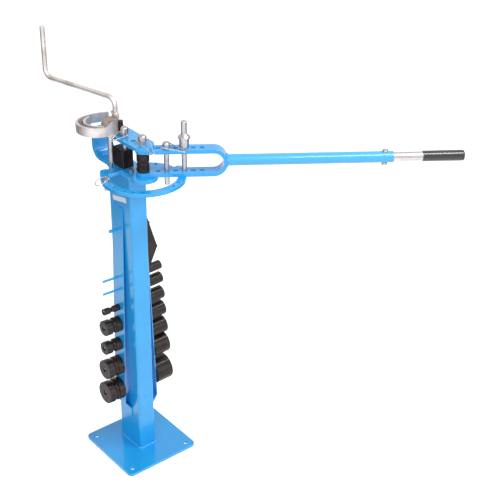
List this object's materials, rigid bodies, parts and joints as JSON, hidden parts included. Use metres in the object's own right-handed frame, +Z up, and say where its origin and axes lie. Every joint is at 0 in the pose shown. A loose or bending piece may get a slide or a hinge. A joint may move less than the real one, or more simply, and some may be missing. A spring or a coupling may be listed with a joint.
{
  "type": "bar bender",
  "caption": "Manual bar and strip bender on a pedestal post, with a long lever yoke, pull pins, storage racks of dies and a scroll former with its crank",
  "frame": {"origin": "middle of the base plate's underside, on the floor", "axes": "+Z up, -Y to the front where the lever's pivot stands, +X to the side on which the lever rests"},
  "size_m": [0.8134, 0.85, 1.22],
  "materials": {
    "blue_paint": "glossy sky-blue powder coat",
    "zinc": "zinc-plated steel",
    "raw_steel": "bare hot-rolled steel",
    "black_oxide": "oiled black oxide on steel",
    "grip_plastic": "glossy black vinyl grip"
  },
  "bodies": {
    "stand": {"base_plate": "blue_paint", "post_tube": "blue_paint", "post_cap": "blue_paint", "table_plate": "blue_paint", "frame_bow": "blue_paint", "frame_bolts": "zinc", "return_stop_bolt": "zinc", "left_rack": "blue_paint", "right_rack": "blue_paint", "left_pegs": "blue_paint", "right_pegs": "blue_paint", "scroll_former": "raw_steel", "scroll_foot": "raw_steel", "scroll_leg": "zinc", "scroll_bolt": "black_oxide", "scroll_nut": "zinc"},
    "lever": {"yoke": "blue_paint", "lever_tube": "blue_paint", "inner_tube": "zinc", "hand_grip": "grip_plastic", "lever_bolt": "zinc", "lever_nut": "zinc"},
    "centre_die": {"centre_die": "black_oxide"},
    "centre_pin": {"centre_pin": "zinc"},
    "centre_bail": {"centre_pin_bail": "zinc"},
    "gripper": {"gripper_block": "black_oxide"},
    "gripper_pin": {"gripper_pin": "zinc"},
    "gripper_bail": {"gripper_pin_bail": "zinc"},
    "drive_pin": {"drive_pin": "zinc"},
    "drive_bail": {"drive_pin_bail": "zinc"},
    "spindle": {"stepped_spindle": "zinc"},
    "stop_pin": {"stop_pin": "zinc"},
    "pull_ring": {"stop_pin_ring": "zinc"},
    "crank": {"crank": "raw_steel", "crank_cam": "raw_steel"},
    "wedge": {"wedge_block": "black_oxide"},
    "left_die_1": {"left_die_1": "black_oxide"},
    "left_die_2": {"left_die_2": "black_oxide"},
    "left_die_3": {"left_die_3": "black_oxide"},
    "left_die_4": {"left_die_4": "black_oxide"},
    "left_die_5": {"left_die_5": "black_oxide"},
    "right_die_1": {"right_die_1": "black_oxide"},
    "right_die_2": {"right_die_2": "black_oxide"},
    "right_die_3": {"right_die_3": "black_oxide"},
    "right_die_4": {"right_die_4": "black_oxide"},
    "right_die_5": {"right_die_5": "black_oxide"},
    "right_die_6": {"right_die_6": "black_oxide"},
    "right_die_7": {"right_die_7": "black_oxide"}
  },
  "joints": [
    {"name": "lever_turn", "type": "hinge", "parent": "stand", "child": "lever", "pos_m": [0, -0.064, 0.908], "axis": [0, 0, 1], "range_deg": [-139.5, 3.5]},
    {"name": "centre_die_spin", "type": "hinge", "parent": "stand", "child": "centre_die", "pos_m": [0, -0.064, 0.9285], "axis": [0, 0, 1], "continuous": true},
    {"name": "centre_pin_lift", "type": "slide", "parent": "stand", "child": "centre_pin", "axis": [0, 0, 1], "range_m": [0, 0.108]},
    {"name": "centre_bail_swing", "type": "hinge", "parent": "centre_pin", "child": "centre_bail", "pos_m": [0, -0.064, 1.007], "axis": [-0.9627, 0.2706, 0], "range_deg": [0, 105]},
    {"name": "gripper_turn", "type": "hinge", "parent": "stand", "child": "gripper", "pos_m": [-0.008, 0.004, 0.908], "axis": [0, 0, 1], "range_deg": [-15, 8]},
    {"name": "gripper_pin_lift", "type": "slide", "parent": "stand", "child": "gripper_pin", "axis": [0, 0, 1], "range_m": [0, 0.097]},
    {"name": "gripper_bail_swing", "type": "hinge", "parent": "gripper_pin", "child": "gripper_bail", "pos_m": [-0.008, 0.004, 1.0035], "axis": [0, 1, 0], "range_deg": [0, 100]},
    {"name": "drive_pin_lift", "type": "slide", "parent": "lever", "child": "drive_pin", "axis": [0, 0, 1], "range_m": [0, 0.104]},
    {"name": "drive_bail_swing", "type": "hinge", "parent": "drive_pin", "child": "drive_bail", "pos_m": [0.04915, -0.09842, 0.989], "axis": [-0.9397, -0.342, 0], "range_deg": [0, 90]},
    {"name": "spindle_lift", "type": "slide", "parent": "lever", "child": "spindle", "axis": [0, 0, 1], "range_m": [0, 0.075]},
    {"name": "stop_pin_lift", "type": "slide", "parent": "stand", "child": "stop_pin", "axis": [0, 0, 1], "range_m": [0, 0.027]},
    {"name": "pull_ring_swing", "type": "hinge", "parent": "stop_pin", "child": "pull_ring", "pos_m": [-0.09708, -0.03799, 0.918], "axis": [0.2079, 0.9781, 0], "range_deg": [0, 110]},
    {"name": "crank_turn", "type": "hinge", "parent": "stand", "child": "crank", "pos_m": [-0.00317, 0.05081, 1.082], "axis": [0, 0, 1], "continuous": true},
    {"name": "wedge_slide", "type": "slide", "parent": "stand", "child": "wedge", "axis": [0.9995, 0, 0.0327], "range_m": [0, 0.028]},
    {"name": "left_die_1_slide", "type": "slide", "parent": "stand", "child": "left_die_1", "axis": [-0.9995, 0, 0.0327], "range_m": [0, 0.051]},
    {"name": "left_die_2_slide", "type": "slide", "parent": "stand", "child": "left_die_2", "axis": [-0.9995, 0, 0.0327], "range_m": [0, 0.051]},
    {"name": "left_die_3_slide", "type": "slide", "parent": "stand", "child": "left_die_3", "axis": [-0.9995, 0, 0.0327], "range_m": [0, 0.051]},
    {"name": "left_die_4_slide", "type": "slide", "parent": "stand", "child": "left_die_4", "axis": [-0.9995, 0, 0.0327], "range_m": [0, 0.051]},
    {"name": "left_die_5_slide", "type": "slide", "parent": "stand", "child": "left_die_5", "axis": [-0.9995, 0, 0.0327], "range_m": [0, 0.051]},
    {"name": "right_die_1_slide", "type": "slide", "parent": "stand", "child": "right_die_1", "axis": [0.9995, 0, 0.0327], "range_m": [0, 0.051]},
    {"name": "right_die_2_slide", "type": "slide", "parent": "stand", "child": "right_die_2", "axis": [0.9995, 0, 0.0327], "range_m": [0, 0.051]},
    {"name": "right_die_3_slide", "type": "slide", "parent": "stand", "child": "right_die_3", "axis": [0.9995, 0, 0.0327], "range_m": [0, 0.051]},
    {"name": "right_die_4_slide", "type": "slide", "parent": "stand", "child": "right_die_4", "axis": [0.9995, 0, 0.0327], "range_m": [0, 0.051]},
    {"name": "right_die_5_slide", "type": "slide", "parent": "stand", "child": "right_die_5", "axis": [0.9995, 0, 0.0327], "range_m": [0, 0.051]},
    {"name": "right_die_6_slide", "type": "slide", "parent": "stand", "child": "right_die_6", "axis": [0.9995, 0, 0.0327], "range_m": [0, 0.051]},
    {"name": "right_die_7_slide", "type": "slide", "parent": "stand", "child": "right_die_7", "axis": [0.9995, 0, 0.0327], "range_m": [0, 0.051]}
  ]
}
